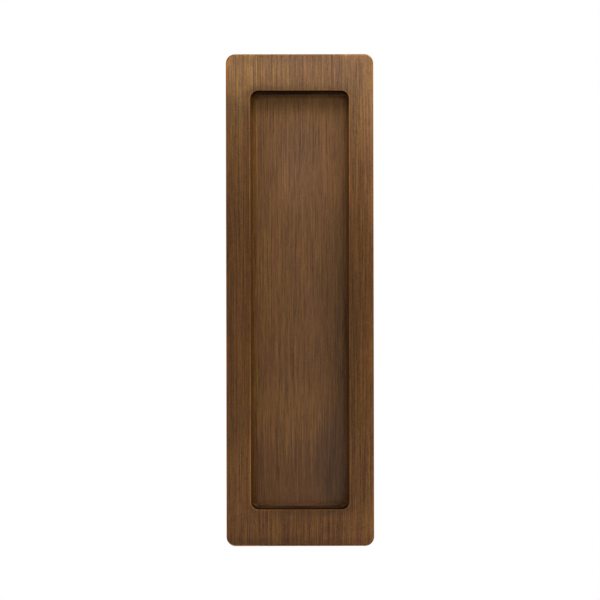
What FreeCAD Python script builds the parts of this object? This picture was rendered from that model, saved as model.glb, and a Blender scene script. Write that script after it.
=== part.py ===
# Tall rectangular pocket door pull: one brass body with a deep finger recess, and the four
# threaded studs on its back that hold it in the door, so that no screw shows from the room.
# All sizes are in millimetres. X runs across the pull, Z up along it, and Y from the room into
# the door. The face of the door is the plane Y = 0, and the pull is centred on X = 0 and Z = 0.
import FreeCAD
import Part

import math
import os

# The plate that lies on the face of the door.
PLATE_HEIGHT = 254.0
PLATE_WIDTH = 76.2
PLATE_THICKNESS = 3.175
PLATE_CORNER_RADIUS = 4.76
PLATE_FRONT_EDGE_RADIUS = 0.8
PLATE_BACK_EDGE_CHAMFER = 0.3

# The finger recess. Its borders are measured at the front face, before the lip is rounded.
SIDE_BORDER = 12.7
END_BORDER = 19.05
RECESS_DEPTH = 12.7
RECESS_CORNER_RADIUS = 4.1
RECESS_LIP_RADIUS = 0.35
RECESS_FLOOR_RADIUS = 1.6
WALL_DRAFT_DEG = 2.0

# The cup round the recess, which sinks into the mortise in the door.
CUP_WALL = 2.38
CUP_FLOOR = 2.38
CUP_BACK_EDGE_RADIUS = 2.0

# The tapped bosses on the back of the plate, and the flare where they and the cup leave it.
BOSS_HEIGHT = 5.0
BOSS_WALL = 1.92
BOSS_SIDE_INSET = 12.7
BOSS_END_CHAMFER = 0.4
FOOT_FLARE_RADIUS = 0.8
SKIN_OVER_HOLE = 1.0
DRILL_POINT_DEG = 118.0
HOLE_MOUTH_CHAMFER = 0.35

# The fixing studs: socket set screws with a number 8 thread, 32 turns to the inch.
THREAD_DIAMETER = 4.166
THREAD_PITCH = 0.794
PITCH_LINE_DEPTH_IN_PITCHES = 0.3248
THREAD_CLEARANCE = 0.02
STUD_LENGTH = 15.875
STUD_END_GAP = 0.5
STUD_END_CHAMFER = 0.45
SOCKET_FLATS = 1.98
SOCKET_DEPTH = 1.9
CUP_POINT_DIAMETER = 2.0
CUP_POINT_DEG = 118.0

# A cutting tool starts this far outside the surface that it enters.
TOOL_OVERRUN = 1.0
PLANE_TOLERANCE = 0.01

RECESS_WIDTH = PLATE_WIDTH - 2 * SIDE_BORDER
RECESS_HEIGHT = PLATE_HEIGHT - 2 * END_BORDER
CUP_WIDTH = RECESS_WIDTH + 2 * CUP_WALL
CUP_HEIGHT = RECESS_HEIGHT + 2 * CUP_WALL
CUP_CORNER_RADIUS = RECESS_CORNER_RADIUS + CUP_WALL

# Places along Y.
FRONT_Y = -PLATE_THICKNESS
RECESS_FLOOR_Y = FRONT_Y + RECESS_DEPTH
CUP_BACK_Y = RECESS_FLOOR_Y + CUP_FLOOR

# Where two threads mesh, the stud and the hole are both drawn plain, at the pitch line.
CREST_RADIUS = THREAD_DIAMETER / 2
PITCH_RADIUS = CREST_RADIUS - PITCH_LINE_DEPTH_IN_PITCHES * THREAD_PITCH
HOLE_RADIUS = PITCH_RADIUS + THREAD_CLEARANCE
HOLE_POINT_Y = FRONT_Y + SKIN_OVER_HOLE
HOLE_BOTTOM_Y = HOLE_POINT_Y + HOLE_RADIUS / math.tan(math.radians(DRILL_POINT_DEG / 2))
STUD_INNER_Y = HOLE_BOTTOM_Y + STUD_END_GAP
STUD_OUTER_Y = STUD_INNER_Y + STUD_LENGTH

# The bosses stand midway between the cup and the ends of the plate.
BOSS_RADIUS = CREST_RADIUS + BOSS_WALL
BOSS_X = PLATE_WIDTH / 2 - BOSS_SIDE_INSET
BOSS_Z = (PLATE_HEIGHT + CUP_HEIGHT) / 4
BOSS_PLACES = {
    "top_left": FreeCAD.Vector(-BOSS_X, 0, BOSS_Z),
    "top_right": FreeCAD.Vector(BOSS_X, 0, BOSS_Z),
    "bottom_left": FreeCAD.Vector(-BOSS_X, 0, -BOSS_Z),
    "bottom_right": FreeCAD.Vector(BOSS_X, 0, -BOSS_Z),
}
INTO_DOOR = FreeCAD.Vector(0, 1, 0)


def rounded_rectangle(width, height, radius, y):
    """A closed wire round a rectangle with round corners, in the plane at this Y."""
    arcs = []
    for quarter, (side_x, side_z) in enumerate([(1, 1), (-1, 1), (-1, -1), (1, -1)]):
        centre_x = side_x * (width / 2 - radius)
        centre_z = side_z * (height / 2 - radius)
        points = []
        for turn in (0, 45, 90):
            angle = math.radians(90 * quarter + turn)
            x = centre_x + radius * math.cos(angle)
            z = centre_z + radius * math.sin(angle)
            points.append(FreeCAD.Vector(x, y, z))
        arcs.append(points)
    edges = []
    for points, next_points in zip(arcs, arcs[1:] + arcs[:1]):
        edges.append(Part.Arc(*points).toShape())
        edges.append(Part.LineSegment(points[-1], next_points[0]).toShape())
    return Part.Wire(edges)


def drafted_block(width, height, radius, sized_y, from_y, to_y):
    """A block whose walls lean in on their way into the door. It has its size at sized_y."""
    wires = []
    for y in (from_y, to_y):
        lean = (y - sized_y) * math.tan(math.radians(WALL_DRAFT_DEG))
        wires.append(rounded_rectangle(width - 2 * lean, height - 2 * lean, radius - lean, y))
    return Part.makeLoft(wires, True, True)


def turned(profile):
    """A solid of revolution about the Y axis from a closed outline of (radius, y) points."""
    points = [FreeCAD.Vector(radius, y, 0) for radius, y in profile]
    outline = Part.Face(Part.makePolygon(points + points[:1]))
    return outline.revolve(FreeCAD.Vector(0, 0, 0), INTO_DOOR, 360)


def hexagonal_prism(flats, from_y, to_y):
    corner_radius = flats / 2 / math.cos(math.radians(30))
    corners = []
    for step in range(7):
        angle = math.radians(60 * step)
        x = corner_radius * math.cos(angle)
        z = corner_radius * math.sin(angle)
        corners.append(FreeCAD.Vector(x, from_y, z))
    outline = Part.Face(Part.makePolygon(corners))
    return outline.extrude(INTO_DOOR * (to_y - from_y))


def flat_face(shape, y):
    """The face of the shape that lies in the plane at this Y."""
    for face in shape.Faces:
        box = face.BoundBox
        if abs(box.YMin - y) < PLANE_TOLERANCE and abs(box.YMax - y) < PLANE_TOLERANCE:
            return face
    raise ValueError(f"no face lies at Y = {y}")


def outline_edges(shape, y):
    """The edges round the outside of the face at this Y."""
    return flat_face(shape, y).OuterWire.Edges


def inner_edges(shape, y):
    """The edges of every opening, boss or cup within the face at this Y."""
    face = flat_face(shape, y)
    wires = [wire for wire in face.Wires if not wire.isSame(face.OuterWire)]
    return [edge for wire in wires for edge in wire.Edges]


def plate():
    outline = rounded_rectangle(PLATE_WIDTH, PLATE_HEIGHT, PLATE_CORNER_RADIUS, FRONT_Y)
    slab = Part.Face(outline).extrude(INTO_DOOR * PLATE_THICKNESS)
    slab = slab.makeFillet(PLATE_FRONT_EDGE_RADIUS, outline_edges(slab, FRONT_Y))
    return slab.makeChamfer(PLATE_BACK_EDGE_CHAMFER, outline_edges(slab, 0))


def cup_outside():
    block = drafted_block(CUP_WIDTH, CUP_HEIGHT, CUP_CORNER_RADIUS, 0, 0, CUP_BACK_Y)
    return block.makeFillet(CUP_BACK_EDGE_RADIUS, outline_edges(block, CUP_BACK_Y))


def boss():
    """A round post that starts halfway through the plate and stands out of its back."""
    root_y = FRONT_Y / 2
    return turned(
        [
            (0, root_y),
            (BOSS_RADIUS, root_y),
            (BOSS_RADIUS, BOSS_HEIGHT - BOSS_END_CHAMFER),
            (BOSS_RADIUS - BOSS_END_CHAMFER, BOSS_HEIGHT),
            (0, BOSS_HEIGHT),
        ]
    )


def tapped_hole():
    """A blind hole from the end of a boss, with a drill point and a countersunk mouth."""
    mouth_radius = CREST_RADIUS + HOLE_MOUTH_CHAMFER
    return turned(
        [
            (0, HOLE_POINT_Y),
            (HOLE_RADIUS, HOLE_BOTTOM_Y),
            (HOLE_RADIUS, BOSS_HEIGHT - (mouth_radius - HOLE_RADIUS)),
            (mouth_radius, BOSS_HEIGHT),
            (mouth_radius, BOSS_HEIGHT + TOOL_OVERRUN),
            (0, BOSS_HEIGHT + TOOL_OVERRUN),
        ]
    )


def recess():
    """The space that the fingers reach into, run out past the front face."""
    mouth_y = FRONT_Y - TOOL_OVERRUN
    space = drafted_block(
        RECESS_WIDTH, RECESS_HEIGHT, RECESS_CORNER_RADIUS, FRONT_Y, mouth_y, RECESS_FLOOR_Y
    )
    return space.makeFillet(RECESS_FLOOR_RADIUS, outline_edges(space, RECESS_FLOOR_Y))


def pull_body():
    """The whole brass piece: plate, cup and bosses, flared together, then recessed and tapped."""
    bosses = [boss().translated(place) for place in BOSS_PLACES.values()]
    body = plate().fuse([cup_outside()] + bosses).removeSplitter()
    body = body.makeFillet(FOOT_FLARE_RADIUS, inner_edges(body, 0))
    body = body.cut(recess())
    body = body.makeFillet(RECESS_LIP_RADIUS, inner_edges(body, FRONT_Y))
    return body.cut([tapped_hole().translated(place) for place in BOSS_PLACES.values()])


def fixing_stud():
    """A set screw with its hollowed point in the boss and its socket end in the door."""
    screw = turned(
        [
            (0, STUD_INNER_Y),
            (PITCH_RADIUS - STUD_END_CHAMFER, STUD_INNER_Y),
            (PITCH_RADIUS, STUD_INNER_Y + STUD_END_CHAMFER),
            (PITCH_RADIUS, BOSS_HEIGHT),
            (CREST_RADIUS, BOSS_HEIGHT),
            (CREST_RADIUS, STUD_OUTER_Y - STUD_END_CHAMFER),
            (CREST_RADIUS - STUD_END_CHAMFER, STUD_OUTER_Y),
            (0, STUD_OUTER_Y),
        ]
    )
    socket_floor_y = STUD_OUTER_Y - SOCKET_DEPTH
    socket = hexagonal_prism(SOCKET_FLATS, socket_floor_y, STUD_OUTER_Y + TOOL_OVERRUN)
    hollow_radius = CUP_POINT_DIAMETER / 2
    hollow_depth = hollow_radius / math.tan(math.radians(CUP_POINT_DEG / 2))
    hollow = turned(
        [(0, STUD_INNER_Y), (hollow_radius, STUD_INNER_Y), (0, STUD_INNER_Y + hollow_depth)]
    )
    return screw.cut([socket, hollow])


def main():
    os.makedirs("parts", exist_ok=True)
    pieces = {"pull_body": pull_body()}
    for corner, place in BOSS_PLACES.items():
        pieces[f"stud_{corner}"] = fixing_stud().translated(place)
    for name, shape in pieces.items():
        box = shape.BoundBox
        print(
            f"{name}: {len(shape.Solids)} solid, valid {shape.isValid()}, volume {shape.Volume:.1f},"
            f" Y {box.YMin:.2f} to {box.YMax:.2f}"
        )
        shape.exportStep(f"parts/{name}.step")


main()
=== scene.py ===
import math

import bmesh
import bpy
import numpy as np
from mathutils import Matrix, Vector


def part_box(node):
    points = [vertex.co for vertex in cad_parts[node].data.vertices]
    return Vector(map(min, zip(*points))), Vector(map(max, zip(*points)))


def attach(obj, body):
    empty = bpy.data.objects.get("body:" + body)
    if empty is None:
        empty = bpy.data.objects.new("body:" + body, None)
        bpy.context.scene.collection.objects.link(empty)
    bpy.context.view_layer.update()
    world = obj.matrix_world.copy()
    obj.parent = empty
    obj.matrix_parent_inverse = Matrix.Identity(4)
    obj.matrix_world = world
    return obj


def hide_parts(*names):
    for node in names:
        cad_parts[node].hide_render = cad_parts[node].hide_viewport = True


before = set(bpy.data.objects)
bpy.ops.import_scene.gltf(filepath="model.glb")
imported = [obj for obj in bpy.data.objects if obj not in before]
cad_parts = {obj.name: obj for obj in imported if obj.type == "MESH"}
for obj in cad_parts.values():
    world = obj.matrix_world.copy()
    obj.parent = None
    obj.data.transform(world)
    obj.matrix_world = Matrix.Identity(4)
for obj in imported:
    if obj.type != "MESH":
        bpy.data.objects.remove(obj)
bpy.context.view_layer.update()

# Tall brass pocket door pull: dark patina, brushed along its height, with a deep finger recess.
# Lengths are in millimetres until a mesh is made. +Z is up, and +Y goes into the door.
mm = 0.001
studSpan = [corner.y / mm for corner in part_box("stud_top_left")]
print("frame loaded:", ", ".join(sorted(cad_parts)))


# Meshes

def gridFaces(rows, columns, start=0):
    # Square faces between neighbouring rows of a grid whose columns close into a ring
    row = np.arange(rows - 1)[:, None] * columns
    here = np.arange(columns)[None, :]
    beside = (here + 1) % columns
    corners = [row + here, row + beside, row + columns + beside, row + columns + here]
    return np.stack(corners, axis=-1).reshape(-1, 4) + start


mergeReach = 0.002  # points closer than this are one, in millimetres


def closedMesh(name, grids):
    # Each grid is rows of points, and its first and last rows shrink to a point or a seam
    points, faces, count = [], [], 0
    for grid in grids:
        rows, columns = grid.shape[:2]
        points.append(grid.reshape(-1, 3))
        faces.append(gridFaces(rows, columns, count))
        count += rows * columns
    mesh = bpy.data.meshes.new(name)
    mesh.from_pydata((np.concatenate(points) * mm).tolist(), [], np.concatenate(faces).tolist())
    made = bmesh.new()
    made.from_mesh(mesh)
    bmesh.ops.remove_doubles(made, verts=made.verts, dist=mergeReach * mm)
    bmesh.ops.dissolve_degenerate(made, edges=made.edges, dist=mergeReach / 2 * mm)
    bmesh.ops.recalc_face_normals(made, faces=made.faces)
    made.to_mesh(mesh)
    made.free()
    return mesh


def placeObject(name, mesh):
    thing = bpy.data.objects.new(name, mesh)
    bpy.context.scene.collection.objects.link(thing)
    return thing


def smoothStep(value, low, high):
    # 0 below low, 1 above high, with a soft start and a soft end
    share = np.clip((value - low) / (high - low), 0, 1)
    return share * share * (3 - 2 * share)


def arc(centre, radius, fromDegrees, toDegrees, steps):
    # Points on a circle in a section. The first coordinate is outward, the second into the door
    angles = np.radians(np.linspace(fromDegrees, toDegrees, steps + 1))
    return np.array(centre) + radius * np.stack([np.cos(angles), np.sin(angles)], axis=-1)


# The brass body

body = {
    "plateWidth": 76.2, "plateHeight": 254.0, "plateThickness": 3.175,
    "plateCorner": 4.76, "frontEdge": 0.8, "backChamfer": 0.3,
    "sideBorder": 12.7, "endBorder": 19.05,
    "recessDepth": 12.7, "recessCorner": 4.1, "lip": 0.35, "floorCurve": 1.6, "draft": 2.0,
    "cupWall": 2.38, "cupFloor": 2.38, "cupEdge": 2.0, "flare": 0.8,
    "cornerSteps": 14, "sideSteps": 72, "endSteps": 20,
    "faceRings": 18, "floorRings": 12, "wallRings": 6, "edgeRings": 3, "roundSteps": 9,
    "crownReach": 4.5, "crownDrop": 0.11, "dipReach": 3.5, "dipDrop": 0.05, "polishDepth": (-2.3, -0.8),
    "sharpDegrees": 35,
}


def outlineRings(halfWidths, halfHeights, radii, depths):
    # Each ring is a rectangle with round corners. A point on a corner is the corner's centre plus
    # the radius times a unit direction, and the straight runs join the ends of the corners
    widths, heights, turns = halfWidths[:, None], halfHeights[:, None], radii[:, None]
    corners = []
    for quarter, (signX, signZ) in enumerate([(1, 1), (-1, 1), (-1, -1), (1, -1)]):
        angles = np.radians(90 * quarter + np.linspace(0, 90, body["cornerSteps"] + 1))
        x = signX * (widths - turns) + turns * np.cos(angles)
        z = signZ * (heights - turns) + turns * np.sin(angles)
        corners.append(np.stack([x, z], axis=-1))
    stretches = []
    runs = [body["endSteps"], body["sideSteps"], body["endSteps"], body["sideSteps"]]
    for corner, after, steps in zip(corners, corners[1:] + corners[:1], runs):
        share = (np.arange(1, steps) / steps)[None, :, None]
        stretches += [corner, corner[:, -1:] * (1 - share) + after[:, :1] * share]
    plan = np.concatenate(stretches, axis=1)
    y = np.broadcast_to(depths[:, None], plan.shape[:2])
    return np.stack([plan[..., 0], y, plan[..., 1]], axis=-1)


def filledOutline(halfWidth, halfHeight, radius, depth, rings):
    # Rings that shrink from an outline to a seam up its middle, as rows from seam to outline
    share = np.linspace(0, 1, rings + 1)[:-1]
    heights = halfHeight - halfWidth + halfWidth * share
    return outlineRings(halfWidth * share, heights, radius * share, np.full(rings, depth))


def bodySurface():
    # One section, from the middle of the recess's floor over its lip and round the plate to the
    # middle of the cup's back, carried round the rounded rectangle
    b = body
    front = -b["plateThickness"]
    floor = front + b["recessDepth"]
    back = floor + b["cupFloor"]
    lean = math.radians(b["draft"])
    plate = np.array([b["plateWidth"] / 2, b["plateHeight"] / 2, b["plateCorner"]])
    recess = plate - [b["sideBorder"], b["endBorder"], b["plateCorner"] - b["recessCorner"]]
    cup = recess + b["cupWall"]

    def besideWall(distance, depth):
        # How far outward a point is that lies this far from a drafted wall, at this depth
        return (distance - depth * math.sin(lean)) / math.cos(lean)

    def offsetRings(outline, points):
        points = np.array(points)
        outward = points[:, :1]
        sizes = outline + outward
        return outlineRings(sizes[:, 0], sizes[:, 1], sizes[:, 2], points[:, 1])

    def ringsBetween(first, last, rings):
        # Evenly spaced rings between two others, without them
        share = (np.arange(1, rings) / rings)[:, None, None]
        return first[-1:] * (1 - share) + last[:1] * share

    leanDegrees, steps = b["draft"], b["roundSteps"]
    floorStart = b["recessDepth"] - b["floorCurve"]
    floorCentre = (besideWall(-b["floorCurve"], floorStart), floor - b["floorCurve"])
    floorCurve = offsetRings(recess, arc(floorCentre, b["floorCurve"], 90, leanDegrees, steps))
    lipCentre = (besideWall(b["lip"], b["lip"]), front + b["lip"])
    lipCurve = offsetRings(recess, arc(lipCentre, b["lip"], 180 + leanDegrees, 270, steps))
    edgeCentre = (-b["frontEdge"], front + b["frontEdge"])
    edgeCurve = offsetRings(plate, arc(edgeCentre, b["frontEdge"], -90, 0, steps))
    chamfer = offsetRings(plate, [(0, -b["backChamfer"]), (-b["backChamfer"], 0)])
    flareCentre = (besideWall(b["flare"], b["flare"]), b["flare"])
    flareCurve = offsetRings(cup, arc(flareCentre, b["flare"], 270, 180 + leanDegrees, steps))
    cupCentre = (besideWall(-b["cupEdge"], back - b["cupEdge"]), back - b["cupEdge"])
    cupCurve = offsetRings(cup, arc(cupCentre, b["cupEdge"], leanDegrees, 90, steps))

    floorSize = recess + floorCentre[0]
    backSize = cup + cupCentre[0]
    floorSkin = filledOutline(*floorSize, floor, b["floorRings"])
    backSkin = filledOutline(*backSize, back, b["floorRings"])[::-1]
    parts = [
        floorSkin, floorCurve, ringsBetween(floorCurve, lipCurve, b["wallRings"]), lipCurve,
        ringsBetween(lipCurve, edgeCurve, b["faceRings"]), edgeCurve,
        ringsBetween(edgeCurve, chamfer, b["edgeRings"]), chamfer,
        ringsBetween(chamfer, flareCurve, b["faceRings"]), flareCurve,
        ringsBetween(flareCurve, cupCurve, b["wallRings"]), cupCurve, backSkin,
    ]
    return polishedFace(np.concatenate(parts), recess, plate)


def insideOutline(surface, outline):
    # Distance inside a rounded rectangle: its radius less the distance to its core rectangle
    over = np.abs(surface[..., [0, 2]]) - (outline[:2] - outline[2])
    return outline[2] - np.hypot(*np.moveaxis(np.maximum(over, 0), -1, 0)) - np.minimum(over.max(-1), 0)


def polishedFace(surface, recess, plate):
    # Polishing rounds the front face down towards its rim, and a little towards the recess. The
    # drop grows as the square of the distance past the line where it starts
    b = body
    toRim, toRecess = insideOutline(surface, plate), -insideOutline(surface, recess)
    crown = b["crownDrop"] * (np.clip(b["crownReach"] - toRim, 0, None) / b["crownReach"]) ** 2
    dip = b["dipDrop"] * (np.clip(b["dipReach"] - toRecess, 0, b["dipReach"]) / b["dipReach"]) ** 2
    nearFront = 1 - smoothStep(surface[..., 1], *b["polishDepth"])
    surface[..., 1] += nearFront * (crown + dip * (toRecess > -1))
    return surface


boss = {
    "height": 5.0, "radius": 4.003, "endChamfer": 0.4, "sunk": 1.2, "flareSink": 0.02, "flareReach": 1.2,
    "flareDegrees": 255, "aroundSteps": 72, "roundSteps": 8, "sideInset": 12.7,
}
thread = {
    "crest": 2.083, "pitch": 0.794, "depth": 0.487, "flankSlope": 2.7, "rootFlat": 0.25,
    "mouthChamfer": 0.35, "mouthGap": 0.02, "cutAbove": 1.0, "cutMargin": 0.1, "clearance": 0.04,
    "endGap": 0.5, "pointDegrees": 118.0, "stepsPerTurn": 10, "aroundSteps": 60,
}


def latheGrid(radii, heights, steps):
    # Rows of points round the Y axis. A radius may be one number a row, or one for each angle
    angles = np.linspace(0, 2 * math.pi, steps, endpoint=False)
    reach = np.broadcast_to(radii if radii.ndim == 2 else radii[:, None], (len(heights), steps))
    y = np.broadcast_to(heights[:, None], reach.shape)
    return np.stack([reach * np.cos(angles), y, reach * np.sin(angles)], axis=-1)


def threadRadius(heights, steps, crest, depth):
    # A screw thread: the radius is a triangle wave with flattened crests and roots, whose phase is
    # the height over the pitch less the share of a turn
    share = np.linspace(0, 1, steps, endpoint=False)[None, :]
    phase = (heights[:, None] / thread["pitch"] - share) % 1
    wave = np.clip(np.abs(phase - 0.5) * thread["flankSlope"] - thread["rootFlat"], 0, 1)
    return crest - depth * (1 - wave)


def bossPlaces():
    b = body
    x = b["plateWidth"] / 2 - boss["sideInset"]
    z = (b["plateHeight"] + b["plateHeight"] - 2 * b["endBorder"] + 2 * b["cupWall"]) / 4
    return {"top_left": (-x, z), "top_right": (x, z), "bottom_left": (-x, -z), "bottom_right": (x, -z)}


def atPlace(grid, place):
    return grid + np.array([place[0], 0, place[1]])


def bossPost():
    # A round post with a flared foot, as a section turned about its axis
    flare = body["flare"]
    outer = boss["radius"] + flare * boss["flareReach"]
    foot = arc((boss["radius"] + flare, flare), flare, boss["flareDegrees"], 180, boss["roundSteps"])
    section = [(0, -boss["sunk"]), (outer, -boss["sunk"]), (outer, -boss["flareSink"]), *foot]
    section += [(boss["radius"], boss["height"] - boss["endChamfer"])]
    section += [(boss["radius"] - boss["endChamfer"], boss["height"]), (0, boss["height"])]
    section = np.array(section)
    return latheGrid(section[:, 0], section[:, 1], boss["aroundSteps"])


def tappedCutter():
    # The shape of the hole: a drill point, the thread, a countersink, and a start above the boss
    t = thread
    top = boss["height"]
    bottom = studSpan[0] - t["endGap"]
    turns = (top - bottom - t["mouthChamfer"]) / t["pitch"]
    heights = np.linspace(bottom, top - t["mouthGap"], int(turns * t["stepsPerTurn"]))
    radii = threadRadius(heights, t["aroundSteps"], t["crest"] + t["clearance"], t["depth"])
    mouth = t["crest"] + t["mouthChamfer"] - (top - heights[:, None])
    radii = np.maximum(radii, mouth)
    root = t["crest"] - t["depth"]
    point = bottom - root / math.tan(math.radians(t["pointDegrees"] / 2))
    head = np.array([[0, point]])
    rimRadius, above = t["crest"] + t["mouthChamfer"] + t["cutMargin"], top + t["cutAbove"]
    tail = np.array([[rimRadius, top + t["cutMargin"]], [t["crest"], above], [0, above]])
    rows = [latheGrid(head[:, 0], head[:, 1], t["aroundSteps"])]
    rows += [latheGrid(radii, heights, t["aroundSteps"])]
    rows += [latheGrid(tail[:, 0], tail[:, 1], t["aroundSteps"])]
    return np.concatenate(rows)


def joinByBoolean(thing, toolMesh, operation):
    # Adds or cuts the tool's shape, and leaves the result in the thing's own mesh
    tool = placeObject("boolean_tool", toolMesh)
    change = thing.modifiers.new(operation.lower(), "BOOLEAN")
    change.operation, change.solver, change.object = operation, "EXACT", tool
    graph = bpy.context.evaluated_depsgraph_get()
    result = bpy.data.meshes.new_from_object(thing.evaluated_get(graph))
    thing.modifiers.clear()
    thing.data = result
    bpy.data.objects.remove(tool)


def makeBody():
    pull = placeObject("brass_pull", closedMesh("brass_pull", [bodySurface()]))
    posts = [atPlace(bossPost(), place) for place in bossPlaces().values()]
    cutters = [atPlace(tappedCutter(), place) for place in bossPlaces().values()]
    joinByBoolean(pull, closedMesh("bosses", posts), "UNION")
    joinByBoolean(pull, closedMesh("tapped_holes", cutters), "DIFFERENCE")
    pull.data.shade_smooth()
    pull.data.set_sharp_from_angle(angle=math.radians(body["sharpDegrees"]))
    pull.modifiers.new("flat faces stay flat", "WEIGHTED_NORMAL").keep_sharp = True
    return pull


# The fixing studs

stud = {
    "endChamfer": 0.45, "rootDepth": 0.47, "cupPoint": 1.0, "cupDepth": 0.6, "socketFlats": 1.98,
    "socketDepth": 1.9, "socketPoint": 0.45, "socketBevel": 0.08, "socketFlare": 1.06, "sharpDegrees": 28,
}


def studSurface():
    # A section turned about its axis: the hollowed point, the thread, and the six-sided socket
    s, t = stud, thread
    inner, outer = studSpan
    heights = np.linspace(inner, outer, int((outer - inner) / t["pitch"] * t["stepsPerTurn"]))
    radii = threadRadius(heights, t["aroundSteps"], t["crest"], s["rootDepth"])
    nearEnd = np.minimum(heights - inner, outer - heights)[:, None]
    radii = np.minimum(radii, t["crest"] - s["endChamfer"] + nearEnd)
    angles = np.linspace(0, 2 * math.pi, t["aroundSteps"], endpoint=False)
    sixth = math.pi / 3
    hexagon = s["socketFlats"] / 2 / np.cos((angles + sixth / 2) % sixth - sixth / 2)
    socketFloor = outer - s["socketDepth"]
    point = np.array([[0, inner + s["cupDepth"]], [s["cupPoint"], inner]])
    rows = [latheGrid(point[:, 0], point[:, 1], t["aroundSteps"])]
    rows += [latheGrid(radii, heights, t["aroundSteps"])]
    socket = np.stack([hexagon * s["socketFlare"], hexagon, hexagon, hexagon * 0])
    levels = np.array([outer, outer - s["socketBevel"], socketFloor, socketFloor - s["socketPoint"]])
    rows += [latheGrid(socket, levels, t["aroundSteps"])]
    return np.concatenate(rows)


def makeStud(corner, place):
    name = "threaded_stud_" + corner
    made = placeObject(name, closedMesh(name, [atPlace(studSurface(), place)]))
    made.data.shade_smooth()
    made.data.set_sharp_from_angle(angle=math.radians(stud["sharpDegrees"]))
    return made


# Shader maths

class Flow:
    # One output of a node, so that sums on it are written as plain expressions
    def __init__(self, bench, socket):
        self.bench, self.socket = bench, socket

    def sum(self, operation, first, second):
        return self.bench.node("ShaderNodeMath", {"operation": operation}, {0: first, 1: second})

    def __add__(self, other):
        return self.sum("ADD", self, other)

    def __sub__(self, other):
        return self.sum("SUBTRACT", self, other)

    def __rsub__(self, other):
        return self.sum("SUBTRACT", other, self)

    def __mul__(self, other):
        return self.sum("MULTIPLY", self, other)

    def __truediv__(self, other):
        return self.sum("DIVIDE", self, other)

    def __pow__(self, other):
        return self.sum("POWER", self, other)

    __radd__, __rmul__ = __add__, __mul__

    def size(self):
        return self.sum("ABSOLUTE", self, 0)

    def atLeast(self, other):
        return self.sum("MAXIMUM", self, other)

    def atMost(self, other):
        return self.sum("MINIMUM", self, other)

    def rise(self, low, high):
        # 0 below low and 1 above high, with soft ends
        settings = {"interpolation_type": "SMOOTHSTEP"}
        return self.bench.node("ShaderNodeMapRange", settings, {0: self, 1: low, 2: high})


class Bench:
    # An emptied node tree and the one way its nodes are added
    def __init__(self, tree):
        self.tree = tree
        tree.nodes.clear()

    def node(self, kind, settings=None, sockets=None, output=0):
        made = self.tree.nodes.new(kind)
        for key, value in (settings or {}).items():
            setattr(made, key, value)
        for key, value in (sockets or {}).items():
            if isinstance(value, Flow):
                self.tree.links.new(value.socket, made.inputs[key])
            else:
                made.inputs[key].default_value = value
        return Flow(self, made.outputs[output]) if made.outputs else None

    def place(self):
        # Object coordinates in millimetres
        spot = self.node("ShaderNodeTexCoord", output="Object")
        return self.node("ShaderNodeVectorMath", {"operation": "SCALE"}, {0: spot, "Scale": 1 / mm})

    def parts(self, vector):
        split = self.node("ShaderNodeSeparateXYZ", sockets={0: vector})
        outputs = split.socket.node.outputs
        return [Flow(self, outputs[axis]) for axis in "XYZ"]

    def grain(self, vector, cell, detail=2.0, rough=0.5, shift=0.0):
        # Noise around 0, about -0.5 to 0.5, whose cells measure this many millimetres along X, Y, Z
        moved = {"Scale": tuple(1 / side for side in cell), "Location": (shift, shift * 0.7, shift * 1.3)}
        spot = self.node("ShaderNodeMapping", sockets={"Vector": vector, **moved})
        levels = {"Vector": spot, "Scale": 1.0, "Detail": detail, "Roughness": rough}
        return self.node("ShaderNodeTexNoise", sockets=levels) - 0.5

    def curve(self, value, points):
        # A smooth curve through pairs of a value and a level, which stays level beyond its ends
        low, high = points[0][0], points[-1][0]
        most = max(level for place, level in points)
        made = self.node("ShaderNodeFloatCurve", sockets={"Value": (value - low) / (high - low)})
        mapping = made.socket.node.mapping
        mapping.extend = "HORIZONTAL"
        line = mapping.curves[0].points
        for number, (place, level) in enumerate(points):
            here = ((place - low) / (high - low), level / most)
            if 0 < number < len(points) - 1:
                line.new(*here)
            else:
                line[0 if number == 0 else len(line) - 1].location = here
        for point in line:
            point.handle_type = "AUTO_CLAMPED"
        mapping.update()
        return made * most

    def blend(self, factor, first, second, how="MIX"):
        settings = {"data_type": "RGBA", "blend_type": how}
        return self.node("ShaderNodeMix", settings, {0: factor, 6: first, 7: second}, output=2)

    def scaled(self, colour, amount):
        return self.node("ShaderNodeVectorMath", {"operation": "SCALE"}, {0: colour, "Scale": amount})

    def bump(self, height, depth, strength=1.0):
        # depth is the height in millimetres of a rise of 1
        levels = {"Height": height, "Distance": depth * mm, "Strength": strength}
        return self.node("ShaderNodeBump", sockets=levels)

    def end(self, kind, shader):
        # The tree's output, which only takes the finished shader
        self.node(kind, sockets={0: shader})


def newMaterial(name, build):
    # build takes the bench and gives the sockets of one principled shader
    material = bpy.data.materials.new(name)
    material.use_nodes = True
    bench = Bench(material.node_tree)
    shader = bench.node("ShaderNodeBsdfPrincipled", sockets=build(bench))
    bench.end("ShaderNodeOutputMaterial", shader)
    return material


def outlineDistance(x, z, halfWidth, halfHeight, radius):
    # Distance outside a rounded rectangle, and less than 0 inside it
    overX = x.size() - (halfWidth - radius)
    overZ = z.size() - (halfHeight - radius)
    outside = (overX.atLeast(0) ** 2 + overZ.atLeast(0) ** 2) ** 0.5
    return outside + overX.atLeast(overZ).atMost(0) - radius
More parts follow.
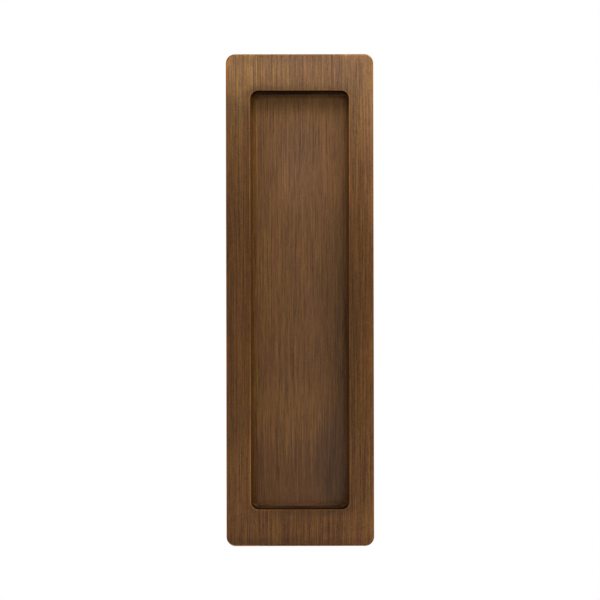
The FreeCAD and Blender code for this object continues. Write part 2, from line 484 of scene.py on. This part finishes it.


# The finish of the brass body, with painted light and shade in its colour

# A mark is a tone and the ways along which it fades in: along each way it is none at the first
# place and whole at the second. The ways are x, y, z, the distance high or low from the middle, the
# distances past the outlines of the plate and of the recess, inward from the recess's outline, past
# the line of its side walls or its end walls, and off the middle of its top.
# A spot is x, z, half width, half height and tone. A noise is its cell in millimetres along X, Y
# and Z, its detail, its roughness and a shift that keeps it apart from the others
patina = {
    "gold": (0.097, 0.0468, 0.0092, 1), "umber": (0.085, 0.0322, 0.0128, 1),
    "cool": (0.069, 0.0332, 0.0148, 1), "warm": (0.090, 0.0350, 0.0078, 1),
    "copper": (0.140, 0.046, 0.0060, 1),
    # Fine upright streaks of three lengths, then wide bands, clouds and grit
    "lines": [
        ((0.38, 0.38, 50.0), 1.0, 0.5, 0.0), ((0.38, 0.38, 18.0), 1.0, 0.5, 3.1),
        ((0.38, 0.38, 5.0), 1.0, 0.5, 6.2),
    ],
    "lineTones": [1.34, 0.92, 0.74], "lineDepth": 0.004, "brushing": 0.8,
    "band": ((3.0, 3.0, 90.0), 2.0, 0.5, 7.7), "bandTone": 0.22,
    "cloud": ((30.0, 30.0, 55.0), 1.0, 0.5, 1.9), "cloudTone": 0.12,
    "grit": ((0.62, 0.62, 0.7), 2.0, 0.6, 12.3), "gritTone": 0.95,
    "hue": ((0.50, 0.50, 32.0), 1.0, 0.5, 5.3), "hueOfLines": 0.15,
    "hueMarks": [(-0.06, {"z": (-50, -125)}), (0.08, {"z": (75, 115)})],
    "dullness": ((0.5, 0.5, 24.0), 1.0, 0.5, 9.0), "dullSpan": (-0.25, 0.25), "smooth": 0.34, "matt": 0.44,
}
noiseSpan = (-0.2, 0.2)
face = {
    # Painted light and shade up the left and the right border, as height and tone
    "left": [
        (-124, 1.19), (-93, 1.24), (-57, 0.99), (-26, 1.02), (0, 0.98), (15, 0.98), (41, 0.84),
        (57, 0.91), (77, 0.97), (88, 0.93), (98, 0.81), (108, 1.0), (119, 1.19),
    ],
    "right": [
        (-125, 1.31), (-118, 1.29), (-108, 1.15), (-98, 1.02), (-80, 1.02), (-57, 0.97), (-30, 1.01),
        (-5, 0.95), (32, 0.96), (46, 1.05), (57, 1.09), (66, 1.08), (77, 1.18), (88, 1.11), (98, 1.05),
        (108, 1.10), (119, 1.20),
    ],
    "crossing": (-28.0, 28.0), "borderLines": 1.2,
    # Painted light and shade in patches: darker in the middle of the top and the foot, and a painted
    # highlight on the top right of the rim
    "spots": {
        "topMiddle": (0.0, 116.0, 27.0, 16.0, -0.06), "footMiddle": (0.0, -119.0, 28.0, 16.0, -0.18),
        "topRight": (27.0, 126.0, 11.0, 5.0, 0.4),
    },
    "besideLip": [
        (-0.13, {"pastRecess": (5.0, 0.8)}),
        (-0.13, {"pastRecess": (5.0, 0.8), "z": (45, 70), "x": (0, -25)}),
        (-0.052, {"pastRecess": (5.0, 0.8), "z": (-104, -108)}),
        (-0.078, {"pastRecess": (5.0, 0.8), "z": (-104, -108), "x": (-15, 5)}),
    ],
    # Painted highlight and shade round the rim: lighter along the top, darker along the foot and on the
    # left
    "rim": [
        (0.05, {"pastPlate": (-3.5, -0.6)}),
        (0.36, {"pastPlate": (-3.5, -0.6), "z": (117, 124)}),
        (-0.22, {"pastPlate": (-8, -1.5), "z": (-117, -127)}),
        (-0.07, {"pastPlate": (-8, -1.5), "x": (-10, -37)}),
        (-0.42, {"pastPlate": (-1.2, -0.7), "x": (-28, -12), "z": (-125.4, -126.4)}),
        (-0.35, {"pastPlate": (-0.6, -0.3), "z": (126.4, 126.9)}),
    ],
    # Painted highlights up the right rim: over its whole width, on its last millimetre, and on the line of
    # its edge. A curve has no level under 0, so the last two are read less curveBase
    "rightRim": [
        (-122, 0.06), (-95, 0.06), (-60, 0.04), (-25, 0.19), (25, 0.22), (50, 0.18), (75, 0.03),
        (100, 0.20), (115, 0.10),
    ],
    "rightRimWays": {"pastPlate": (-8, -1.5), "x": (10, 37)},
    "rightEdge": [
        (-122, 0.2), (-90, 0.34), (-62, 0.2), (-30, 0.14), (-5, 0.25), (20, 0.5), (60, 0.6), (85, 0.8),
        (100, 1.0), (120, 1.0),
    ],
    "rightEdgeWays": {"pastPlate": (-0.95, -0.7), "x": (30, 36), "high": (123, 121)},
    "rightEdgeLine": [
        (-120, 0.15), (-60, 0.0), (-10, 0.05), (10, 0.4), (35, 1.2), (75, 2.2), (98, 3.7), (120, 3.9),
    ],
    # A painted highlight on the line of the left edge as well, which fades at the top and the foot
    "curveBase": 0.5, "leftEdgeLine": 0.8, "edgeCrossing": (-5, 36),
    "edgeLineWays": {"pastPlate": (-0.45, -0.2)},
    "edgeLineEnds": [(-1.8, {"z": (-126.0, -126.8)}), (-1.0, {"z": (126.2, 126.8)})],
    # The painted highlight round the recess's lip: where it runs, and its tone along the way
    "lipShift": [(0.22, {}), (0.18, {"x": (0, 20)})], "lipStart": (0.1, 0.4), "lipEnd": (1.2, 0.6),
    "lip": 0.36,
    "lipMarks": [
        (1.0, {}), (0.8, {"x": (0, 20)}), (1.3, {"z": (20, 55), "high": (107.5, 105)}),
        (-0.3, {"z": (107.2, 108.2)}), (-0.9, {"z": (-107.2, -108.2), "x": (-24, -4)}),
    ],
}
recessFloor = {
    # The floor is made lighter than the face in its middle, and painted shade darkens it towards the walls,
    # most below the top wall and beside the right wall. Tone by height and by place across
    "brightened": 1.41,
    "height": [
        (-107, 0.80), (-98, 0.83), (-88, 0.85), (-77, 0.915), (-67, 1.0), (-52, 1.055), (-36, 0.98),
        (-20, 0.99), (5, 0.99), (26, 0.99), (36, 0.98), (46.5, 1.03), (57, 1.10), (67, 1.08), (77.5, 0.97),
        (88, 0.84), (94.4, 0.73), (98, 0.58), (101.5, 0.41), (105, 0.31), (108, 0.29),
    ],
    "across": [(-25, 0.88), (-21, 0.95), (-15, 1.0), (4, 1.03), (16, 0.90), (25, 0.63)],
    # Painted light and shade in patches over the floor and in its corners
    "spots": {
        "leftMiddle": (-20.0, 0.0, 9.0, 40.0, 0.06), "leftTop": (-20.0, 72.0, 9.0, 36.0, -0.18),
        "leftFoot": (-18.0, -88.0, 10.0, 24.0, -0.07),
        "rightMiddle": (16.0, 6.0, 10.0, 24.0, -0.07), "rightFoot": (22.0, -86.0, 6.0, 26.0, 0.24),
        "topRightCorner": (21.5, 106.0, 5.0, 3.2, 0.22), "topLeftCorner": (-23.4, 107.0, 2.4, 2.4, -0.35),
        "leftFootCorner": (-21.9, -107.3, 1.8, 1.3, -0.4),
    },
    # Where the recess starts: how deep on the lip, how much less deep at its ends, and how far out
    "lipDepth": (-3.02, -2.75), "endLip": 0.17, "lipReach": (1.0, 0.3),
    # How softly one wall passes into the next, and one half of the recess into the other
    "wallTurn": (-1.5, 1.5), "halves": (-1, 1),
}
recessWallShading = {
    # Painted shade and light close to each wall, as a share of the floor's tone: down the wall by depth,
    # then on by distance inward. The walls are darkest at the lip
    "top": (
        [(-2.9, 0.03), (1.5, 0.4), (4.5, 1.3), (7.5, 3.8)],
        [
            (0.45, 3.8), (0.75, 3.3), (1.05, 2.3), (1.7, 2.5), (2.4, 2.1), (3.2, 1.4), (4.2, 1.07),
            (9, 1.0), (14, 1.0),
        ],
    ),
    "foot": (
        [(-2.9, 0.14), (0.5, 0.22), (3.5, 0.5), (6.0, 1.3), (7.5, 3.2)],
        [
            (0.45, 3.2), (0.75, 1.55), (1.05, 0.72), (1.35, 0.78), (1.7, 1.32), (2.2, 1.7), (3.0, 1.22),
            (4.5, 1.07), (8, 1.0),
        ],
    ),
    "left": (
        [(-2.9, 0.50), (0, 0.62), (7.5, 0.78)],
        [(0.45, 0.78), (0.8, 0.8), (1.3, 0.8), (1.8, 1.14), (2.6, 1.14), (5, 1.0)],
    ),
    "right": (
        [(-2.9, 0.65), (0, 0.88), (7.5, 1.2)],
        [(0.45, 1.2), (0.8, 1.2), (1.3, 1.3), (1.8, 1.55), (2.5, 1.35), (3.5, 1.12), (5, 1.0)],
    ),
}
# More painted shade and light near the walls: darker by the top and the foot walls and in the recess's
# corners, lighter up the side walls towards the top
wallShadingMarks = {
    "footMarks": [(-0.3, {"x": (4, 20), "inward": (1.8, 1.0)})],
    "topMarks": [
        (-0.195, {"offMiddle": (17, 6), "inward": (2.2, 1.3)}),
        (-0.105, {"offMiddle": (17, 6), "inward": (7, 4)}),
    ],
    "topMiddle": -5.0,
    "upSides": [(-10, 0.0), (20, 0.2), (50, 0.2), (62, 0.35), (80, 0.8), (95, 1.1), (105, 1.5)],
    "sideReach": (5, 1),
    "sideMarks": [
        (-0.06, {"x": (1, -1), "z": (-45, -75), "inward": (5, 1)}),
        (0.16, {"x": (-1, 1), "z": (-45, -75), "inward": (5, 1)}),
    ],
    "cornerMarks": [(-0.38, {"pastSide": (-4, -1), "pastEnd": (-4, -1)})],
}
tint = {
    # How cool the brown is: over the recess's floor, on its walls, and on the face
    "floor": [(0.15, {}), (0.35, {"x": (-22, -2)}), (0.15, {"z": (20, 60)})],
    # A cooler blotch at the right foot of the floor
    "blotch": (19.0, -86.0, 15.0, 30.0, 0.75), "highPatch": (0.0, 72.0, 17.0, 32.0, 0.3),
    "lessAtTop": [(-0.5, {"z": (84, 103)})], "lessAtRight": [(-0.35, {"x": (6, 20), "z": (-10, 40)})],
    "wallDepth": (0, 7), "wallReach": (3, 0.8),
    "face": [(0.4, {"z": (20, 100), "x": (-45, 0)}), (0.25, {"z": (119, 125)})],
    "warmFace": [(0.8, {"high": (95, 25)})],
}
edgeWearAndHighlight = {
    # Copper shows where the patina is worn, and it also paints the highlight of these rounded edges: round
    # the plate's front edge, and on the recess's lip
    "rim": {"pastPlate": (-1.2, -0.4), "y": (-1.2, -2.0)}, "rimShare": 0.85,
    "lessAtEnds": [(-0.8, {"high": (122.5, 124.5)})],
    "lessAtTopRight": [(-0.8, {"z": (30, 110), "x": (-1, 1)})],
    "lipHighlight": 0.3, "lipDepth": (-1.2, -2.0),
}
lacquer = {
    # A thin clear coat, nearly gone in the recess's dull top, near its walls and on the worn rim
    "coat": 0.22, "roughness": 0.2, "left": 0.12, "wallReach": (4.0, 1.8), "wallMatt": 0.6,
    "dullGain": 1.6, "dullBase": 0.4,
}
castBack = {
    "pale": (0.200, 0.118, 0.048, 1), "dark": (0.112, 0.062, 0.026, 1), "roughness": 0.58,
    "blotch": ((15.0, 15.0, 15.0), 4.0, 0.6, 4.4), "stainRoughness": 0.1,
    "sand": ((0.5, 0.5, 0.5), 4.0, 0.65, 2.2), "sandTone": 0.5, "sandDepth": 0.05,
    "plateBack": {"y": (-0.35, -0.1), "pastRecess": (0.8, 1.4)}, "cupBack": {"y": (10.2, 10.8)},
}


def between(first, second, share):
    return first + (second - first) * share


def fade(at, ways):
    # The product of the soft steps along the ways that are named
    share = 1
    for way, (none, whole) in ways.items():
        share = at[way].rise(none, whole) * share
    return share


def marked(at, marks):
    # The sum of the marks, each its tone times its fade
    total = 0
    for tone, ways in marks:
        total = tone * fade(at, ways) + total
    return total


def softSpot(at, spot):
    # A round patch: its tone in its middle, and 0 beyond its half width and half height
    x, z, halfWidth, halfHeight, tone = spot
    acrossX, acrossZ = (at["x"] - x) / halfWidth, (at["z"] - z) / halfHeight
    return tone * (1 - ((acrossX ** 2 + acrossZ ** 2) ** 0.5).rise(0.1, 1.3))


def bodyWays(bench):
    # Where a point of the body lies, in millimetres, by the names that the marks use
    b = body
    spot = bench.place()
    x, y, z = bench.parts(spot)
    halfWidth, halfHeight = b["plateWidth"] / 2 - b["sideBorder"], b["plateHeight"] / 2 - b["endBorder"]
    pastRecess = outlineDistance(x, z, halfWidth, halfHeight, b["recessCorner"])
    return {
        "spot": spot, "x": x, "y": y, "z": z, "high": z.size(), "inward": 0 - pastRecess,
        "pastPlate": outlineDistance(x, z, b["plateWidth"] / 2, b["plateHeight"] / 2, b["plateCorner"]),
        "pastRecess": pastRecess, "pastSide": x.size() - halfWidth, "pastEnd": z.size() - halfHeight,
        "offMiddle": (x - wallShadingMarks["topMiddle"]).size(),
    }


def lipHighlight(at):
    # The painted highlight round the recess's lip
    line = at["pastRecess"] + marked(at, face["lipShift"])
    return line.rise(*face["lipStart"]) * line.rise(*face["lipEnd"])


def faceLightAndShade(bench, at, lip):
    # How light the face is, in painted light and shade: along its borders, with painted highlights and
    # shade round its rim, darker beside the recess, and a painted highlight on the recess's lip
    e, z = face, at["z"]
    paintedLight = between(bench.curve(z, e["left"]), bench.curve(z, e["right"]), at["x"].rise(*e["crossing"]))
    for spot in e["spots"].values():
        paintedLight = paintedLight + softSpot(at, spot)
    paintedLight = paintedLight * (1 + marked(at, e["besideLip"]))
    rim = marked(at, e["rim"]) + bench.curve(z, e["rightRim"]) * fade(at, e["rightRimWays"])
    rim = rim + (bench.curve(z, e["rightEdge"]) - e["curveBase"]) * fade(at, e["rightEdgeWays"])
    rightLine = bench.curve(z, e["rightEdgeLine"]) - e["curveBase"]
    edgeLine = between(e["leftEdgeLine"], rightLine, at["x"].rise(*e["edgeCrossing"]))
    rim = rim + edgeLine * (1 + marked(at, e["edgeLineEnds"])) * fade(at, e["edgeLineWays"])
    return paintedLight * (1 + rim + e["lip"] * lip * marked(at, e["lipMarks"]))


def recessLightAndShade(bench, at, beside):
    # Painted light and shade in the recess: over its floor, and close to each of its walls
    f, w, inward = recessFloor, wallShadingMarks, at["inward"]
    paintedLight = f["brightened"] * bench.curve(at["z"], f["height"]) * bench.curve(at["x"], f["across"])
    for spot in f["spots"].values():
        paintedLight = paintedLight * (1 + softSpot(at, spot))
    near = {}
    for side, (wall, floor) in recessWallShading.items():
        near[side] = bench.curve(at["y"], wall) + bench.curve(inward, floor) - wall[-1][1]
    foot = near["foot"] * (1 + marked(at, w["footMarks"]))
    top = near["top"] * (1 + marked(at, w["topMarks"]))
    ends = between(foot, top, at["z"].rise(*f["halves"]))
    upSides = bench.curve(at["z"], w["upSides"]) * inward.rise(*w["sideReach"]) + marked(at, w["sideMarks"])
    sides = between(near["left"], near["right"], at["x"].rise(*f["halves"])) * (1 + upSides)
    return paintedLight * between(ends, sides, beside) * (1 + marked(at, w["cornerMarks"]))


def coolShare(at, beside, inRecess):
    # How cool the brown is, 0 to 1
    t = tint
    floor = marked(at, t["floor"]) + softSpot(at, t["blotch"])
    floor = floor * (1 + marked(at, t["lessAtTop"])) * (1 + marked(at, t["lessAtRight"]))
    floor = floor + softSpot(at, t["highPatch"])
    wall = (1 - beside).atLeast(at["x"].rise(*recessFloor["halves"])) * at["y"].rise(*t["wallDepth"])
    inside = between(floor, wall, at["inward"].rise(*t["wallReach"]))
    return between(inside, marked(at, t["face"]), 1 - inRecess).atMost(1)


def brushedPatinaWithPaintedLight(bench):
    p, f, w, c = patina, recessFloor, edgeWearAndHighlight, castBack
    at = bodyWays(bench)
    spot, y = at["spot"], at["y"]
    beside = (at["pastSide"] - at["pastEnd"]).rise(*f["wallTurn"])
    inRecess = (y + f["endLip"] * (1 - beside)).rise(*f["lipDepth"]) * at["pastRecess"].rise(*f["lipReach"])
    lip = lipHighlight(at)

    # The brushing, and how light the finish is, with its painted light and shade
    lines = 0
    for noise, tone in zip(p["lines"], p["lineTones"]):
        lines = lines + tone * bench.grain(spot, *noise)
    marks = p["bandTone"] * bench.grain(spot, *p["band"]) + p["cloudTone"] * bench.grain(spot, *p["cloud"])
    marks = marks + p["gritTone"] * bench.grain(spot, *p["grit"])
    tone = 1 + lines * between(face["borderLines"], 1.0, inRecess) + marks
    paintedLight = between(faceLightAndShade(bench, at, lip), recessLightAndShade(bench, at, beside), inRecess)

    # The colours: gold and umber streaks, cooler or warmer browns, and copper on the worn edges, which also
    # paints their highlight
    hue = bench.grain(spot, *p["hue"]) + p["hueOfLines"] * lines + marked(at, p["hueMarks"])
    metal = bench.blend(hue.rise(*noiseSpan), p["umber"], p["gold"])
    metal = bench.blend(marked(at, tint["warmFace"]) * (1 - inRecess), metal, p["warm"])
    metal = bench.blend(coolShare(at, beside, inRecess), metal, p["cool"])
    rim = fade(at, w["rim"]) * (1 + marked(at, w["lessAtEnds"])) * (1 + marked(at, w["lessAtTopRight"]))
    brightened = (w["rimShare"] * rim).atLeast(w["lipHighlight"] * lip * y.rise(*w["lipDepth"]))
    brushed = bench.scaled(bench.blend(brightened, metal, p["copper"]), tone * paintedLight)

    # The unbrushed casting behind
    sand, blotch = bench.grain(spot, *c["sand"]), bench.grain(spot, *c["blotch"])
    raw = bench.blend(blotch.rise(*noiseSpan), c["dark"], c["pale"])
    raw = bench.scaled(raw, 1 + c["sandTone"] * sand)
    behind = fade(at, c["plateBack"]).atLeast(fade(at, c["cupBack"]))

    # Gloss
    nearWall = inRecess * at["inward"].rise(*lacquer["wallReach"])
    dull = bench.grain(spot, *p["dullness"]).rise(*p["dullSpan"])
    rough = between(between(p["smooth"], p["matt"], dull), lacquer["wallMatt"], nearWall)
    light = lacquer["dullGain"] * bench.curve(at["z"], f["height"]) - lacquer["dullBase"]
    bare = nearWall.atLeast(inRecess * (1 - light.atMost(1).atLeast(0))).atLeast(rim)
    height = lines * p["lineDepth"] * (1 - behind) + sand * behind * c["sandDepth"]
    return {
        "Base Color": bench.blend(behind, brushed, raw), "Metallic": 1.0,
        "Roughness": between(rough, c["roughness"] + c["stainRoughness"] * blotch, behind),
        "Anisotropic": p["brushing"],
        "Coat Weight": lacquer["coat"] * (1 - behind) * (1 - (1 - lacquer["left"]) * bare),
        "Coat Roughness": lacquer["roughness"], "Normal": bench.bump(height, 1.0),
    }


# The zinc of the studs

plating = {
    "bright": (0.62, 0.62, 0.60, 1), "dull": (0.36, 0.36, 0.35, 1), "roughness": 0.34,
    "cloud": ((1.4, 1.4, 1.4), 4.0, 0.6), "cloudRoughness": 0.25,
    "scratch": ((0.25, 1.2, 0.25), 2.0, 0.5), "scratchTone": 0.4, "scratchRoughness": 0.1,
    "scratchDepth": 0.006,
}


def zincPlate(bench):
    p, spot = plating, bench.place()
    cloud, scratch = bench.grain(spot, *p["cloud"]), bench.grain(spot, *p["scratch"])
    colour = bench.blend((cloud + p["scratchTone"] * scratch).rise(*noiseSpan), p["dull"], p["bright"])
    roughness = p["roughness"] + p["cloudRoughness"] * cloud + p["scratchRoughness"] * scratch
    return {
        "Base Color": colour, "Metallic": 1.0, "Roughness": roughness,
        "Normal": bench.bump(scratch, p["scratchDepth"]),
    }


def dressObject():
    pull = makeBody()
    pull.data.materials.clear()
    pull.data.materials.append(newMaterial("brushed_patina_with_painted_light", brushedPatinaWithPaintedLight))
    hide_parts("pull_body")
    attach(pull, "root")
    print("brass body made:", len(pull.data.polygons), "faces")
    zinc = newMaterial("zinc_plated_steel", zincPlate)
    for corner, place in bossPlaces().items():
        made = makeStud(corner, place)
        made.data.materials.append(zinc)
        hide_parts("stud_" + corner)
        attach(made, "root")
    print("four studs made")


# Floor, light and camera

studio = {
    "floorDrop": 300.0, "floorWidth": 1800.0, "floorFront": -900.0, "floorBack": 650.0,
    "floorColour": (0.86, 0.86, 0.86, 1), "floorRoughness": 0.9, "floorGlow": 0.30, "surround": 0.20,
}
lamps = {
    # Where each soft box stands and looks, its width and height, and its brightness against white
    "strip_over_top": {"at": (-50, -300, 160), "aim": (-50, 0, 160), "size": (240, 40), "radiance": 4.6},
    "strip_right": {"at": (130, -300, 130), "aim": (130, 0, 130), "size": (120, 20), "radiance": 7.9},
    "panel_right": {"at": (130, -300, 80), "aim": (130, 0, 80), "size": (120, 80), "radiance": 2.4},
    "overhead": {"at": (200, -500, 620), "aim": (0, 0, 0), "size": (400, 300), "radiance": 9.0},
    "high_slot": {"at": (0, -75, 640), "aim": (0, 5, -105), "size": (300, 60), "radiance": 25.0},
    "low_slot": {"at": (0, -70, -285), "aim": (0, 5, 100), "size": (240, 50), "radiance": 12.0},
    "low_right": {"at": (300, -260, -160), "aim": (0, 0, -60), "size": (200, 260), "radiance": 3.0},
}


def seenDirectly(bench):
    # 1 for what the camera sees, straight or mirrored in the metal, and 0 for what lights a surface
    camera = bench.node("ShaderNodeLightPath", output="Is Camera Ray")
    paths = camera.socket.node.outputs
    mirrored, through = Flow(bench, paths["Is Glossy Ray"]), Flow(bench, paths["Is Transmission Ray"])
    return camera.atLeast(mirrored).atLeast(through)


def paleFloor(bench):
    # The floor is seen paler than the lamps make it, and gives no light of its own
    glow = bench.scaled(studio["floorColour"][:3], studio["floorGlow"] * seenDirectly(bench))
    return {
        "Base Color": studio["floorColour"], "Roughness": studio["floorRoughness"],
        "Emission Color": glow, "Emission Strength": 1.0,
    }


def makeFloor():
    s = studio
    half, front, back = s["floorWidth"] / 2, s["floorFront"], s["floorBack"]
    corners = [(-half, front), (half, front), (half, back), (-half, back)]
    mesh = bpy.data.meshes.new("studio_floor")
    mesh.from_pydata([(x * mm, y * mm, -s["floorDrop"] * mm) for x, y in corners], [], [(0, 1, 2, 3)])
    floor = placeObject("studio_floor", mesh)
    paint = newMaterial("pale_floor", paleFloor)
    paint.cycles.emission_sampling = "NONE"
    mesh.materials.append(paint)


def makeSurround():
    # The camera and the metal see plain white. Everything else is lit by a softer surround
    world = bpy.data.worlds.new("studio")
    world.use_nodes = True
    bpy.context.scene.world = world
    bench = Bench(world.node_tree)
    seen = seenDirectly(bench)
    strength = seen + (1 - seen) * studio["surround"]
    light = bench.node("ShaderNodeBackground", sockets={"Color": (1, 1, 1, 1), "Strength": strength})
    bench.end("ShaderNodeOutputWorld", light)


def makeLamps():
    for name, spec in lamps.items():
        light = bpy.data.lights.new(name, "AREA")
        light.shape = "RECTANGLE"
        light.size, light.size_y = spec["size"][0] * mm, spec["size"][1] * mm
        light.energy = spec["radiance"] * math.pi * light.size * light.size_y
        lamp = bpy.data.objects.new(name, light)
        lamp.location = Vector(spec["at"]) * mm
        towards = Vector(spec["aim"]) - Vector(spec["at"])
        lamp.rotation_euler = towards.to_track_quat("-Z", "Y").to_euler()
        lamp.visible_camera = False
        bpy.context.scene.collection.objects.link(lamp)


photo = {
    "size": 600, "plateTop": 54.12, "plateBottom": 546.05, "plateLeft": 226.3, "plateRight": 373.6,
    "distance": 1000.0, "sensor": 36.0, "rollDegrees": 0.1, "nearest": 10.0, "farthest": 20000.0,
}


def makeCamera():
    # Level with the middle of the plate and square to it, at a distance that shows the recess's
    # walls as wide as the photograph does. The lens makes the plate as tall as it is there
    pixel = body["plateHeight"] / (photo["plateBottom"] - photo["plateTop"])
    data = bpy.data.cameras.new("camera")
    data.sensor_width = photo["sensor"]
    data.lens = photo["sensor"] * (photo["distance"] + body["frontEdge"]) / (photo["size"] * pixel)
    data.clip_start, data.clip_end = photo["nearest"] * mm, photo["farthest"] * mm
    camera = bpy.data.objects.new("camera", data)
    middle = photo["size"] / 2
    right = (middle - (photo["plateLeft"] + photo["plateRight"]) / 2) * pixel
    up = ((photo["plateTop"] + photo["plateBottom"]) / 2 - middle) * pixel
    camera.location = Vector((right, -photo["distance"] - body["plateThickness"], up)) * mm
    camera.rotation_euler = (math.pi / 2, math.radians(photo["rollDegrees"]), 0)
    bpy.context.scene.collection.objects.link(camera)
    bpy.context.scene.camera = camera


dressObject()
makeFloor()
makeSurround()
makeLamps()
makeCamera()
bpy.context.scene.view_settings.view_transform = "Standard"
print("floor, light and camera set")
